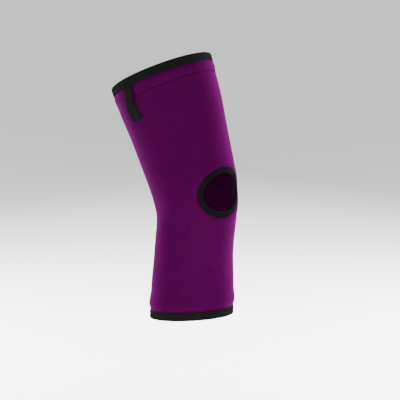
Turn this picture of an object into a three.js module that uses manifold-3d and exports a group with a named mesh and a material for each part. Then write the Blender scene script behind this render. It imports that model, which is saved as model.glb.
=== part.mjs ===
// Open-patella knee sleeve of foam rubber cloth, in its worn shape on a slightly bent right knee.
// Millimetres, +Z up. The knee's centre is the origin. The kneecap faces -Y and the pull loop is on the
// -X side, which is the outer side of a right leg.
import * as THREE from "three";
import { mergeVertices } from "three/addons/utils/BufferGeometryUtils.js";
import Module from "manifold-3d";

// Leg line, where the middle of the leg runs through the sleeve
const THIGH_LENGTH = 165; // knee centre to the top edge, along the leg
const SHIN_LENGTH = 164.5; // knee centre to the bottom edge, along the leg
const THIGH_LEAN = 23.7; // degrees that the thigh leans back, going up
const SHIN_LEAN = 3.7; // degrees that the shin leans back, going down
const BEND_RADIUS = 150; // of the leg line where the knee bends

// Outer sizes of the sleeve across the leg
const TOP_WIDTH = 135.5;
const TOP_DEPTH = 145.5;
const KNEE_WIDTH = 104.5;
const KNEE_DEPTH = 112.5;
const BOTTOM_WIDTH = 107;
const BOTTOM_DEPTH = 113;

// Cloth and tapes
const WALL = 3; // foam rubber with jersey on both faces
const TAPE = 1; // thickness of the edge tape
const GAP = 0.3; // left between pieces that touch
const EDGE_TAPE_WIDTH = 11.5; // of the folded tape on the top and bottom edges
const HOLE_TAPE_WIDTH = 7.6; // of the folded tape round the kneecap hole
const TOP_EDGE_RISE = 2; // the front of the top edge stands this far above its mean height
const TOP_EDGE_TILT = 2.8; // and its inner side this far
const BOTTOM_EDGE_RISE = 8.5; // the front of the bottom edge stands this far above its mean height

// Kneecap hole, measured over the cloth from cut edge to cut edge
const HOLE_WIDTH = 67.5;
const HOLE_HEIGHT = 51.5;
const HOLE_LIFT = -2.5; // its middle above the knee's centre
const HOLE_TILT = 5.7; // degrees that its inner end is turned up

// Pull loop, a folded strap whose ends are caught under the top tape
const LOOP_ANGLE = -90; // degrees round from the front
const LOOP_LENGTH = 58; // below the top edge
const LOOP_WIDTH = 12;
const LOOP_STRAP = 1.1; // thickness of the strap
const LOOP_FOLD = 1.6; // radius of the strap's middle where it turns back
const LOOP_BOW = 3.5; // how far its middle stands off the cloth
const LOOP_OPENING = 2; // between its two runs, at the middle

// Fineness of the mesh
const STEPS_ROUND = 54;
const STEPS_ALONG = 34;
const STEPS_HOLE = 48;
const STEPS_LOOP = 12;

// Cross-sections up the leg. "at" is a share of the shin's length below 0 and of the thigh's above it.
// side, front and back are shares of the plain size there. corner is the share by which the section
// stands out between its side and its front or back, past an ellipse.
const SECTIONS = [
  { at: -1.0, side: 0.995, front: 1.0, back: 0.99, corner: 0 },
  { at: -0.75, side: 1.0, front: 0.955, back: 1.0, corner: 0 },
  { at: -0.5, side: 0.985, front: 0.89, back: 0.96, corner: 0 },
  { at: -0.25, side: 0.97, front: 0.94, back: 0.91, corner: 0.01 },
  { at: 0.0, side: 1.03, front: 0.955, back: 1.015, corner: 0.025 },
  { at: 0.25, side: 0.99, front: 1.025, back: 1.025, corner: 0.015 },
  { at: 0.5, side: 0.975, front: 1.075, back: 1.02, corner: 0 },
  { at: 0.75, side: 1.0, front: 1.055, back: 1.005, corner: 0 },
  { at: 1.0, side: 1.005, front: 0.985, back: 0.95, corner: 0 },
];

// Soft hollows and swellings. "at" is as above and "round" is degrees from the front. "up" and "across"
// say how far each reaches, in the same units. depth is a share of the knee's depth, below 0 for a hollow.
const SWELLINGS = [
  { name: "hollow behind the knee", at: -0.06, round: 180, up: 0.32, across: 60, depth: -0.02 },
  { name: "hollow by the outer tendon", at: -0.06, round: -113, up: 0.3, across: 28, depth: -0.014 },
  { name: "head of the outer shin bone", at: -0.27, round: -102, up: 0.16, across: 26, depth: 0.014 },
];

const rad = THREE.MathUtils.degToRad;
const lerp = THREE.MathUtils.lerp;
const clamp = THREE.MathUtils.clamp;
const wrap = (degrees) => THREE.MathUtils.euclideanModulo(degrees + 180, 360) - 180;

// The share that the tables use for a length along the leg
const shareAt = (length) => length / (length < 0 ? SHIN_LENGTH : THIGH_LENGTH);

// A smooth bump that is 1 at 0 and 0 from 1 on
function fade(distance) {
  const d = Math.min(Math.abs(distance), 1);
  return (1 - d * d) ** 2;
}

// A column of SECTIONS at a share, by a smooth curve through its rows
function formAt(column, share) {
  const last = SECTIONS.length - 1;
  const row = (k) => SECTIONS[clamp(k, 0, last)];
  let i = 0;
  while (i < last - 1 && row(i + 1).at < share) i += 1;
  const span = row(i + 1).at - row(i).at;
  const slope = (k) => (span * (row(k + 1)[column] - row(k - 1)[column])) / (row(k + 1).at - row(k - 1).at);
  const [from, to, leaving, arriving] = [row(i)[column], row(i + 1)[column], slope(i), slope(i + 1)];
  const s = (share - row(i).at) / span;
  const bend = 3 * (to - from) - 2 * leaving - arriving;
  const twist = 2 * (from - to) + leaving + arriving;
  return from + s * (leaving + s * (bend + s * twist));
}

// The plain size at a share: a straight taper from the knee to each edge
const taper = (bottom, knee, top, share) => (share < 0 ? lerp(knee, bottom, -share) : lerp(knee, top, share));

// The leg line: straight, an arc at the knee, straight. Returns its point and its forward direction there.
function legLine(length) {
  const half = (BEND_RADIUS * rad(THIGH_LEAN + SHIN_LEAN)) / 2;
  const middle = rad(THIGH_LEAN - SHIN_LEAN) / 2;
  const onArc = clamp(length, -half, half);
  const lean = middle + onArc / BEND_RADIUS;
  const y = BEND_RADIUS * (Math.cos(middle) - Math.cos(lean)) + (length - onArc) * Math.sin(lean);
  const z = BEND_RADIUS * (Math.sin(lean) - Math.sin(middle)) + (length - onArc) * Math.cos(lean);
  const forward = new THREE.Vector3(0, -Math.cos(lean), Math.sin(lean));
  return { point: new THREE.Vector3(0, y, z), forward };
}

// A point of the sleeve's outer face, at an angle in degrees from the front towards +X
function face(angle, length) {
  const share = shareAt(length);
  const side = (taper(BOTTOM_WIDTH, KNEE_WIDTH, TOP_WIDTH, share) / 2) * formAt("side", share);
  const depth = taper(BOTTOM_DEPTH, KNEE_DEPTH, TOP_DEPTH, share) / 2;
  const front = depth * formAt("front", share);
  const back = depth * formAt("back", share);
  const [s, c] = [Math.sin(rad(angle)), Math.cos(rad(angle))];
  const full = 1 + formAt("corner", share) * (2 * s * c) ** 2;
  const x = side * s * full;
  const ahead = c * ((front + back) / 2 + (c * (front - back)) / 2) * full;
  let swell = 0;
  for (const bump of SWELLINGS) {
    const rise = fade((share - bump.at) / bump.up);
    swell += bump.depth * KNEE_DEPTH * rise * fade(wrap(angle - bump.round) / bump.across);
  }
  const grown = 1 + swell / Math.hypot(x, ahead);
  const { point, forward } = legLine(length);
  return point.addScaledVector(forward, ahead * grown).setX(x * grown);
}

// The face's two directions at a point, per degree round and per millimetre up, and its outward normal
function directions(angle, length) {
  const step = 0.5;
  const round = face(angle + step, length).sub(face(angle - step, length));
  const up = face(angle, length + step).sub(face(angle, length - step));
  return { round, up, out: round.clone().cross(up).normalize() };
}

// A point that stands off the outer face by "off", so that the cloth's inner face is at -WALL
function offFace(angle, length, off) {
  return face(angle, length).addScaledVector(directions(angle, length).out, off);
}

// The cut edges of the cloth, as lengths along the leg
const topEdge = (angle) =>
  THIGH_LENGTH + TOP_EDGE_RISE * Math.cos(rad(angle)) + TOP_EDGE_TILT * Math.sin(rad(angle));
const bottomEdge = (angle) => -SHIN_LENGTH + BOTTOM_EDGE_RISE * Math.cos(rad(angle));

// A closed mesh through closed sections that run round in a ring, or along a strip with two ends.
// Its faces point outwards whichever way the sections are given.
function loft(sections, isRing) {
  const [rows, columns] = [sections.length, sections[0].length];
  const points = sections.flat();
  const triangles = [];
  for (let i = 0; i < (isRing ? rows : rows - 1); i += 1) {
    for (let j = 0; j < columns; j += 1) {
      const [next, beside] = [(i + 1) % rows, (j + 1) % columns];
      const [a, b] = [i * columns + j, next * columns + j];
      const [c, d] = [next * columns + beside, i * columns + beside];
      triangles.push([a, b, c], [a, c, d]);
    }
  }
  for (let j = 1; !isRing && j < columns - 1; j += 1) {
    const end = (rows - 1) * columns;
    triangles.push([0, j, j + 1], [end, end + j + 1, end + j]);
  }
  const volumeUnder = ([a, b, c]) => points[a].dot(points[b].clone().cross(points[c])) / 6;
  const volume = triangles.reduce((sum, triangle) => sum + volumeUnder(triangle), 0);
  if (volume < 0) triangles.forEach((triangle) => triangle.reverse());
  const geometry = new THREE.BufferGeometry().setFromPoints(points);
  geometry.setIndex(triangles.flat());
  return geometry;
}

// Cloth tube, hollow from edge to edge
function sleeveTube() {
  const sections = [];
  for (let i = 0; i < STEPS_ROUND; i += 1) {
    const angle = (360 * i) / STEPS_ROUND;
    const row = (off) =>
      Array.from({ length: STEPS_ALONG + 1 }, (_, k) =>
        offFace(angle, lerp(bottomEdge(angle), topEdge(angle), k / STEPS_ALONG), off),
      );
    sections.push([...row(0), ...row(-WALL).reverse()]);
  }
  return loft(sections, true);
}

// The hole's edge on the outer face, for a turn of 0 to 360 degrees from its top towards +X
function holeEdge(turn) {
  const across = (HOLE_WIDTH / 2) * Math.sin(rad(turn));
  const rise = (HOLE_HEIGHT / 2) * Math.cos(rad(turn));
  const [s, c] = [Math.sin(rad(HOLE_TILT)), Math.cos(rad(HOLE_TILT))];
  const length = HOLE_LIFT + (rise * c + across * s) / directions(0, HOLE_LIFT).up.length();
  const angle = (across * c - rise * s) / directions(0, length).round.length();
  return { angle, length };
}

// The same edge moved over the cloth by "away" millimetres from the hole, and off it by "off"
function holeSide(turn, away, off) {
  const [here, ahead, behind] = [holeEdge(turn), holeEdge(turn + 1), holeEdge(turn - 1)];
  const { round, up, out } = directions(here.angle, here.length);
  const along = face(ahead.angle, ahead.length).sub(face(behind.angle, behind.length));
  const over = out.clone().cross(along).normalize();
  // That direction in terms of the face's own two
  const [rr, ru, uu] = [round.dot(round), round.dot(up), up.dot(up)];
  const [or, ou] = [over.dot(round), over.dot(up)];
  const area = rr * uu - ru * ru;
  const turned = (or * uu - ou * ru) / area;
  const risen = (ou * rr - or * ru) / area;
  return offFace(here.angle + away * turned, here.length + away * risen, off);
}

// A plug that cuts the kneecap hole square through the cloth. It starts far enough out to clear the
// cloth's bulge between the hole's sides.
function holePlug() {
  const rings = [HOLE_WIDTH / 2, -2 * WALL].map((off) =>
    Array.from({ length: STEPS_HOLE }, (_, i) => holeSide((360 * i) / STEPS_HOLE, 0, off)),
  );
  return loft(rings, false);
}

// Section of a tape folded over an edge, as steps in from the edge and off the outer face. "lift" raises
// its outer side over something that lies on the cloth.
function foldedTape(width, lift) {
  const outer = GAP + lift;
  const inner = -WALL - GAP;
  const fold = -GAP - TAPE;
  const hem = fold + width;
  const points = [
    [hem, outer],
    [-GAP, outer],
    [-GAP, inner],
    [hem, inner],
    [hem, inner - TAPE],
    [fold + TAPE / 2, inner - TAPE],
    [fold, inner - TAPE / 2],
    [fold, outer + TAPE / 2],
    [fold + TAPE / 2, outer + TAPE],
    [hem, outer + TAPE],
  ];
  return points.map(([inwards, off]) => ({ inwards, off }));
}

// How far the top tape rises over the ends of the pull loop
function loopLift(angle) {
  const stack = 2 * (LOOP_STRAP + GAP);
  const halfWidth = LOOP_WIDTH / 2 / directions(LOOP_ANGLE, THIGH_LENGTH).round.length();
  const beyond = Math.abs(wrap(angle - LOOP_ANGLE)) - halfWidth - 360 / STEPS_ROUND;
  return stack * fade(Math.max(beyond, 0) / halfWidth);
}

const noLift = () => 0;

// Tape folded over the top edge, where up is 1, or over the bottom edge, where it is -1
function edgeTape(edge, up, lift) {
  const sections = [];
  for (let i = 0; i < STEPS_ROUND; i += 1) {
    const angle = (360 * i) / STEPS_ROUND;
    const section = foldedTape(EDGE_TAPE_WIDTH, lift(angle));
    sections.push(section.map(({ inwards, off }) => offFace(angle, edge(angle) - up * inwards, off)));
  }
  return loft(sections, true);
}

// Tape folded over the hole's edge
function holeTape() {
  const section = foldedTape(HOLE_TAPE_WIDTH, 0);
  const sections = [];
  for (let i = 0; i < STEPS_HOLE; i += 1) {
    const turn = (360 * i) / STEPS_HOLE;
    sections.push(section.map(({ inwards, off }) => holeSide(turn, inwards, off)));
  }
  return loft(sections, true);
}

// Middle of the loop's strap, as steps down from the top edge and off the outer face. It runs down the
// outside, turns back on itself and comes up on the inside. Both runs bow away from the cloth.
function loopPath() {
  const inner = GAP + LOOP_STRAP / 2;
  const outer = inner + LOOP_STRAP + GAP;
  const bottom = LOOP_LENGTH - LOOP_FOLD - LOOP_STRAP / 2;
  const run = (share, first, last, bow) => {
    const down = lerp(GAP, bottom, share);
    const free = clamp((down - EDGE_TAPE_WIDTH) / (bottom - EDGE_TAPE_WIDTH), 0, 1);
    return { down, off: lerp(first, last, free) + bow * Math.sin(Math.PI * free) ** 2 };
  };
  const path = [];
  for (let i = 0; i <= STEPS_LOOP; i += 1) {
    path.push(run(i / STEPS_LOOP, outer, inner + 2 * LOOP_FOLD, LOOP_BOW + LOOP_OPENING));
  }
  for (const turn of [45, 90, 135]) {
    const down = bottom + LOOP_FOLD * Math.sin(rad(turn));
    path.push({ down, off: inner + LOOP_FOLD * (1 + Math.cos(rad(turn))) });
  }
  for (let i = STEPS_LOOP; i >= 0; i -= 1) path.push(run(i / STEPS_LOOP, inner, inner, LOOP_BOW));
  return path;
}

// Strap along that middle line, lying across the cloth at the loop's angle
function loopStrap(path) {
  const degrees = 1 / directions(LOOP_ANGLE, THIGH_LENGTH).round.length();
  const across = [-LOOP_WIDTH / 2, 0, LOOP_WIDTH / 2];
  const sections = path.map((here, i) => {
    const [before, after] = [path[Math.max(i - 1, 0)], path[Math.min(i + 1, path.length - 1)]];
    const [along, out] = [after.down - before.down, after.off - before.off];
    const side = (half) => {
      const down = here.down - (half * out) / Math.hypot(along, out);
      const off = here.off + (half * along) / Math.hypot(along, out);
      return across.map((x) => offFace(LOOP_ANGLE + x * degrees, topEdge(LOOP_ANGLE) - down, off));
    };
    return [...side(LOOP_STRAP / 2), ...side(-LOOP_STRAP / 2).reverse()];
  });
  return loft(sections, false);
}

const wasm = await Module();
wasm.setup();

// A closed geometry as a solid that can be cut, and back
function solidOf(geometry) {
  const merged = mergeVertices(geometry);
  const vertProperties = merged.attributes.position.array;
  const triVerts = new Uint32Array(merged.index.array);
  return new wasm.Manifold(new wasm.Mesh({ numProp: 3, vertProperties, triVerts }));
}

function geometryOf(solid) {
  const { vertProperties, triVerts } = solid.getMesh();
  const geometry = new THREE.BufferGeometry();
  geometry.setAttribute("position", new THREE.BufferAttribute(vertProperties, 3));
  geometry.setIndex(new THREE.BufferAttribute(triVerts, 1));
  return geometry;
}

const purpleJersey = { color: 0x5b0a5e, roughness: 0.85, metalness: 0 };
const blackTape = { color: 0x15161a, roughness: 0.75, metalness: 0 };
const blackStrap = { color: 0x17191a, roughness: 0.8, metalness: 0 };

const sleeve = new THREE.Group();

function add(name, geometry, finish) {
  geometry.computeVertexNormals();
  const mesh = new THREE.Mesh(geometry, new THREE.MeshStandardMaterial(finish));
  mesh.name = name;
  sleeve.add(mesh);
}

add("sleeve_body", geometryOf(solidOf(sleeveTube()).subtract(solidOf(holePlug()))), purpleJersey);
add("top_binding", edgeTape(topEdge, 1, loopLift), blackTape);
add("bottom_binding", edgeTape(bottomEdge, -1, noLift), blackTape);
add("kneecap_binding", holeTape(), blackTape);
add("pull_loop", loopStrap(loopPath()), blackStrap);

export default sleeve;
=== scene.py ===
import math

import bpy
import numpy as np
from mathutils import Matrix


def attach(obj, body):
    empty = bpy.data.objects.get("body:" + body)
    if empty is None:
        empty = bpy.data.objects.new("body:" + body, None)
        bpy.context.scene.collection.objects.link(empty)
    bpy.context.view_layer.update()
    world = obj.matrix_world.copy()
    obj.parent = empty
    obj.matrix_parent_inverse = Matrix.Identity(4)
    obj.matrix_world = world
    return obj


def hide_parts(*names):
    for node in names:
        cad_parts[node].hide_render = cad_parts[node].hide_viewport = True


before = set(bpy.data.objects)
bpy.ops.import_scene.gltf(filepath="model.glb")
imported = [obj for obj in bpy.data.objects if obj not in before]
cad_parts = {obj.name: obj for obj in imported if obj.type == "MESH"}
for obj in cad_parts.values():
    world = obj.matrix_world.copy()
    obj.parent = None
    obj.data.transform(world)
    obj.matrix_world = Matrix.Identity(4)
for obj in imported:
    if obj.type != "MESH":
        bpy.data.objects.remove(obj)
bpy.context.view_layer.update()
bpy.ops.object.select_all(action="DESELECT")


# The sleeve's cloth: 3 mm foam rubber faced on both sides with fine purple jersey. It is cut as a tube,
# joined flat up the back and worn tight, which stretches it smooth and gives it its form.
THIGH_LENGTH = 0.165
SHIN_LENGTH = 0.1645
THIGH_LEAN = math.radians(23.7)
SHIN_LEAN = math.radians(3.7)
BEND_RADIUS = 0.150
TOP_WIDTH, TOP_DEPTH = 0.1355, 0.1455
KNEE_WIDTH, KNEE_DEPTH = 0.1045, 0.1125
BOTTOM_WIDTH, BOTTOM_DEPTH = 0.107, 0.113
WALL = 0.003
TOP_EDGE_RISE, TOP_EDGE_TILT = 0.002, 0.0028
BOTTOM_EDGE_RISE = 0.0085

# Cross-sections up the sleeve. "at" is a share of the shin length below 0 and of the thigh length above.
SECTIONS = {
    "at": (-1.0, -0.75, -0.5, -0.25, 0.0, 0.25, 0.5, 0.75, 1.0),
    "side": (0.995, 1.0, 0.985, 0.97, 1.03, 0.99, 0.975, 1.0, 1.005),
    "front": (1.0, 0.955, 0.89, 0.94, 0.955, 1.025, 1.075, 1.055, 0.985),
    "back": (0.99, 1.0, 0.96, 0.91, 1.015, 1.025, 1.02, 1.005, 0.95),
    "corner": (0, 0, 0, 0.01, 0.025, 0.015, 0, 0, 0),
}

# Soft hollows and swellings, in shares of the two lengths, degrees from the front and shares of the depth
SWELLINGS = (
    {"name": "hollow, back of the knee", "at": -0.06, "round": 180, "up": 0.32, "across": 60, "depth": -0.02},
    {"name": "hollow, outer back", "at": -0.06, "round": -113, "up": 0.3, "across": 28, "depth": -0.014},
    {"name": "swelling, outer side", "at": -0.27, "round": -102, "up": 0.16, "across": 26, "depth": 0.014},
)


def fade(distance):
    """A smooth bump that is 1 at 0 and 0 from 1 on."""
    return (1 - np.minimum(np.abs(distance), 1) ** 2) ** 2


def bell(distance, reach):
    """A bell curve that is 1 at 0 and nearly 0 at twice its reach."""
    return np.exp(-((distance / reach) ** 2))


def ease(start, end, value):
    """0 before start, 1 after end, and smooth between them."""
    share = np.clip((value - start) / (end - start), 0, 1)
    return share * share * (3 - 2 * share)


def wrap(degrees):
    return (degrees + 180) % 360 - 180


def unit(vectors):
    return vectors / np.linalg.norm(vectors, axis=-1, keepdims=True)


def dot(one, other):
    return (one * other).sum(-1)


def form_at(column, share):
    """A column of SECTIONS at a share, by a smooth curve through its rows."""
    at = np.array(SECTIONS["at"])
    form = np.array(SECTIONS[column], float)
    last = len(at) - 1
    i = np.clip(np.searchsorted(at, share) - 1, 0, last - 1)
    span = at[i + 1] - at[i]

    def slope(k):
        before, after = np.clip(k - 1, 0, last), np.clip(k + 1, 0, last)
        return span * (form[after] - form[before]) / (at[after] - at[before])

    leaving, arriving, step = slope(i), slope(i + 1), form[i + 1] - form[i]
    along = (share - at[i]) / span
    bend = 3 * step - 2 * leaving - arriving + along * (leaving + arriving - 2 * step)
    return form[i] + along * (leaving + along * bend)


def taper(bottom, knee, top, share):
    return np.where(share < 0, knee + (knee - bottom) * share, knee + (top - knee) * share)


def face(angle, length):
    """Points of the outer face, at degrees from the front towards +X and lengths up the middle line."""
    angle, length = np.broadcast_arrays(np.asarray(angle, float), np.asarray(length, float))
    share = length / np.where(length < 0, SHIN_LENGTH, THIGH_LENGTH)
    depth = taper(BOTTOM_DEPTH, KNEE_DEPTH, TOP_DEPTH, share) / 2
    front, back = depth * form_at("front", share), depth * form_at("back", share)
    sine, cosine = np.sin(np.radians(angle)), np.cos(np.radians(angle))
    full = 1 + form_at("corner", share) * (2 * sine * cosine) ** 2
    x = taper(BOTTOM_WIDTH, KNEE_WIDTH, TOP_WIDTH, share) / 2 * form_at("side", share) * sine * full
    ahead = cosine * ((front + back) / 2 + cosine * (front - back) / 2) * full
    swell = 0
    for soft in SWELLINGS:
        reach = fade((share - soft["at"]) / soft["up"]) * fade(wrap(angle - soft["round"]) / soft["across"])
        swell = swell + soft["depth"] * KNEE_DEPTH * reach
    grown = 1 + swell / np.hypot(x, ahead)
    half, middle = BEND_RADIUS * (THIGH_LEAN + SHIN_LEAN) / 2, (THIGH_LEAN - SHIN_LEAN) / 2
    on_arc = np.clip(length, -half, half)
    lean = middle + on_arc / BEND_RADIUS
    y = BEND_RADIUS * (math.cos(middle) - np.cos(lean)) + (length - on_arc) * np.sin(lean)
    z = BEND_RADIUS * (np.sin(lean) - math.sin(middle)) + (length - on_arc) * np.cos(lean)
    return np.stack([x * grown, y - ahead * grown * np.cos(lean), z + ahead * grown * np.sin(lean)], axis=-1)


def directions(angle, length):
    """The face's directions per degree round and per metre up, and its outward normal."""
    turn, step = 0.5, 0.0005
    around = (face(angle + turn, length) - face(angle - turn, length)) / (2 * turn)
    up = (face(angle, length + step) - face(angle, length - step)) / (2 * step)
    return around, up, unit(np.cross(around, up))


def off_face(angle, length, off):
    """Points that stand off the outer face, so that the cloth's inner face is at -WALL."""
    return face(angle, length) + directions(angle, length)[2] * np.asarray(off)[..., None]


def top_edge(angle):
    turn = np.radians(angle)
    return THIGH_LENGTH + TOP_EDGE_RISE * np.cos(turn) + TOP_EDGE_TILT * np.sin(turn)


def bottom_edge(angle):
    return -SHIN_LENGTH + BOTTOM_EDGE_RISE * np.cos(np.radians(angle))


# Kneecap hole, measured over the cloth between its cut edges, with its inner end turned up a little
HOLE_WIDTH, HOLE_HEIGHT, HOLE_LIFT = 0.0675, 0.0515, -0.0025
HOLE_TILT = math.radians(5.7)
hole_stretch = np.linalg.norm(directions(0, HOLE_LIFT)[1])


def per_degree(length):
    """Metres round the front for a degree."""
    return np.linalg.norm(directions(0, length)[0], axis=-1)


def hole_edge(turn):
    """Angle and length of the hole's edge, at a turn of 0 to 360 degrees from its top towards +X."""
    across, rise = HOLE_WIDTH / 2 * np.sin(np.radians(turn)), HOLE_HEIGHT / 2 * np.cos(np.radians(turn))
    length = HOLE_LIFT + (rise * math.cos(HOLE_TILT) + across * math.sin(HOLE_TILT)) / hole_stretch
    return (across * math.cos(HOLE_TILT) - rise * math.sin(HOLE_TILT)) / per_degree(length), length


def hole_turn(angle, length):
    """The turn round the hole at which a point lies, and its distance from the hole's middle."""
    across, up = angle * per_degree(length), (length - HOLE_LIFT) * hole_stretch
    level = across * math.cos(HOLE_TILT) + up * math.sin(HOLE_TILT)
    rise = up * math.cos(HOLE_TILT) - across * math.sin(HOLE_TILT)
    return np.degrees(np.arctan2(level / HOLE_WIDTH, rise / HOLE_HEIGHT)), np.hypot(across, up)


def hole_distance(angle, length):
    """About how far a point lies from the hole's edge, below 0 inside it."""
    turn, distance = hole_turn(angle, length)
    return distance - hole_turn(*hole_edge(turn))[1]


def hole_way(turn, away):
    """Angle and length of a point that lies over the cloth at a distance from the hole's edge."""
    angle, length = hole_edge(turn)
    ahead, behind = hole_edge(turn + 1), hole_edge(turn - 1)
    around, up, out = directions(angle, length)
    over = unit(np.cross(out, face(*ahead) - face(*behind)))
    wide, slant, tall = dot(around, around), dot(around, up), dot(up, up)
    to_round, to_up = dot(over, around), dot(over, up)
    area = wide * tall - slant * slant
    turned = (to_round * tall - to_up * slant) / area
    return angle + away * turned, length + away * (to_up * wide - to_round * slant) / area


# What the sewing does to the soft cloth: the tapes press it thin, and it swells out beside them. A swelling
# fades at the end of its roll and is highest at the crown, a share of that.
EDGE_TAPE_HEM = 0.0102
HOLE_TAPE_HEM = 0.0063
PRESS = 0.0006
PRESS_START, PRESS_END = -0.0003, 0.0010
TOP_SWELL, TOP_ROLL = 0.0009, 0.016
BOTTOM_SWELL, BOTTOM_ROLL = 0.0018, 0.026
HOLE_SWELL, HOLE_ROLL = 0.0009, 0.016
CROWN = 0.35
# Painted shade in the crease beside each tape: how dark it is, and how far it reaches
CREASE_SHADE, CREASE_REACH = 0.35, 0.0034


def beside_tape(distance, hem, swell, roll):
    """How far the cloth's face stands out at a distance from its cut edge."""
    under = 1 - ease(hem + PRESS_START, hem + PRESS_END, distance)
    crown = hem + CROWN * roll
    puffed = ease(hem, crown, distance) * (1 - ease(crown, hem + roll, distance))
    return swell * puffed - PRESS * under


# Where the pull loop's ends are sewn in, the cloth is pressed once more
LOOP_ANGLE = -90.0
LOOP_WIDTH = 0.0118
LOOP_PRESS = 0.0009
LOOP_PRESS_SIDE, LOOP_PRESS_END = 0.005, 0.003


def near_loop(angle):
    """1 where the loop's strap crosses the top edge, and 0 a few millimetres beside it."""
    side = np.abs(wrap(angle - LOOP_ANGLE)) * np.linalg.norm(directions(LOOP_ANGLE, THIGH_LENGTH)[0])
    return 1 - ease(LOOP_WIDTH / 2, LOOP_WIDTH / 2 + LOOP_PRESS_SIDE, side)


# The hem line, a sewn groove below the top edge between two places at the sides, with its ends turned up.
# The cloth above it stands out a little, and the groove is deeper and wider at its ends.
HEM_DROP = 0.0253
HEM_END = 85.3
HEM_GROOVE, HEM_REACH = 0.0006, 0.0007
HEM_LEVEL_SHARE, HEM_END_WIDER, HEM_END_EASE = 0.6, 0.6, 1.5
HEM_BAND = 0.0002
BAND_EASE, BAND_END_EASE, BAND_START = 0.0008, 1.0, 0.004


def hem_distance(angle, length):
    """Distance over the cloth from the hem line."""
    beyond = (np.abs(wrap(angle)) - HEM_END) * TOP_WIDTH * math.pi / 360
    below = top_edge(angle) - length - HEM_DROP
    level = np.hypot(np.maximum(beyond, 0), below)
    upright = np.hypot(beyond, np.maximum(below, 0))
    return np.minimum(level, upright)


def hem_groove(angle, length):
    """1 in the middle of the turned-up ends of the hem line, less along its level run, and 0 beside it."""
    at_end = ease(HEM_END - HEM_END_EASE, HEM_END, np.abs(wrap(angle)))
    reach = HEM_REACH * (1 + HEM_END_WIDER * at_end)
    return (HEM_LEVEL_SHARE + (1 - HEM_LEVEL_SHARE) * at_end) * bell(hem_distance(angle, length), reach)


# The tube's own seam runs up the middle of the back, a groove with a low ridge on each side
SEAM_ANGLE = 180.0
SEAM_GROOVE, SEAM_REACH = 0.0006, 0.0007
RIDGE, RIDGE_PLACE, RIDGE_REACH = 0.0003, 0.0021, 0.0014


def seam_distance(angle):
    """Distance round the tube from the back seam."""
    return np.abs(wrap(angle - SEAM_ANGLE)) * KNEE_WIDTH * math.pi / 360


def sewn_off(angle, length, from_hole):
    """How far the sewing moves the cloth's outer face off its plain form."""
    from_top = top_edge(angle) - length
    from_bottom = length - bottom_edge(angle)
    off = beside_tape(from_top, EDGE_TAPE_HEM, TOP_SWELL * (1 - near_loop(angle)), TOP_ROLL)
    off = off + beside_tape(from_bottom, EDGE_TAPE_HEM, BOTTOM_SWELL, BOTTOM_ROLL)
    off = off + beside_tape(from_hole, HOLE_TAPE_HEM, HOLE_SWELL, HOLE_ROLL)
    above_hem = ease(-BAND_EASE, BAND_EASE, HEM_DROP - from_top)
    between_ends = ease(-BAND_END_EASE, BAND_END_EASE, HEM_END - np.abs(wrap(angle)))
    below_tape = ease(EDGE_TAPE_HEM, EDGE_TAPE_HEM + BAND_START, from_top)
    off = off + HEM_BAND * above_hem * between_ends * below_tape
    off = off - HEM_GROOVE * hem_groove(angle, length)
    from_seam = seam_distance(angle)
    off = off - SEAM_GROOVE * bell(from_seam, SEAM_REACH) + RIDGE * bell(from_seam - RIDGE_PLACE, RIDGE_REACH)
    at_tape = 1 - ease(EDGE_TAPE_HEM, EDGE_TAPE_HEM + LOOP_PRESS_END, from_top)
    return off - LOOP_PRESS * near_loop(angle) * at_tape


def crease_shade(angle, length, from_hole):
    """Painted shade in the crease beside each tape. 0 a few millimetres off."""
    beside = np.minimum(top_edge(angle) - length, length - bottom_edge(angle)) - EDGE_TAPE_HEM
    beside = np.minimum(beside, from_hole - HOLE_TAPE_HEM)
    return CREASE_SHADE * (1 - ease(0, CREASE_REACH, beside))


# Shallow waves that the stretched cloth keeps, and creases behind the bent knee, each a little bent itself
WAVES = (
    {"height": 0.00012, "around": 3, "pitch": 0.017, "turned": 0.0},
    {"height": 0.00010, "around": 5, "pitch": -0.011, "turned": 1.3},
)
KNEE_CREASES = (
    {"at": 0.013, "depth": 0.0013, "width": 0.0050, "turned": 3.25},
    {"at": -0.006, "depth": 0.0010, "width": 0.0045, "turned": -1.5},
    {"at": 0.030, "depth": 0.0007, "width": 0.0060, "turned": 7.5},
)
KNEE_CREASE_SPREAD = 48
KNEE_CREASE_BEND, KNEE_CREASE_BENDS = 0.003, 3


def slack(angle, length):
    """How far the waves and creases move both faces of the cloth."""
    turn = np.radians(angle)
    off = 0
    for wave in WAVES:
        off = off + wave["height"] * np.sin(wave["around"] * turn + length / wave["pitch"] + wave["turned"])
    at_back = fade(wrap(angle - 180) / KNEE_CREASE_SPREAD)
    for crease in KNEE_CREASES:
        line = crease["at"] + KNEE_CREASE_BEND * np.sin(KNEE_CREASE_BENDS * turn + crease["turned"])
        off = off - crease["depth"] * bell(length - line, crease["width"]) * at_back
    return off


def graded(start, end, coarse, fine, places):
    """Steps from start to end that are fine at the places and grow to coarse away from them."""
    growth = 0.3
    steps = [start]
    while steps[-1] < end:
        near = min(abs(steps[-1] - place) for place in places)
        steps.append(steps[-1] + min(coarse, fine + growth * near))
    steps = np.array(steps)
    return start + (steps - start) * (end - start) / (steps[-1] - start)


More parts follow.
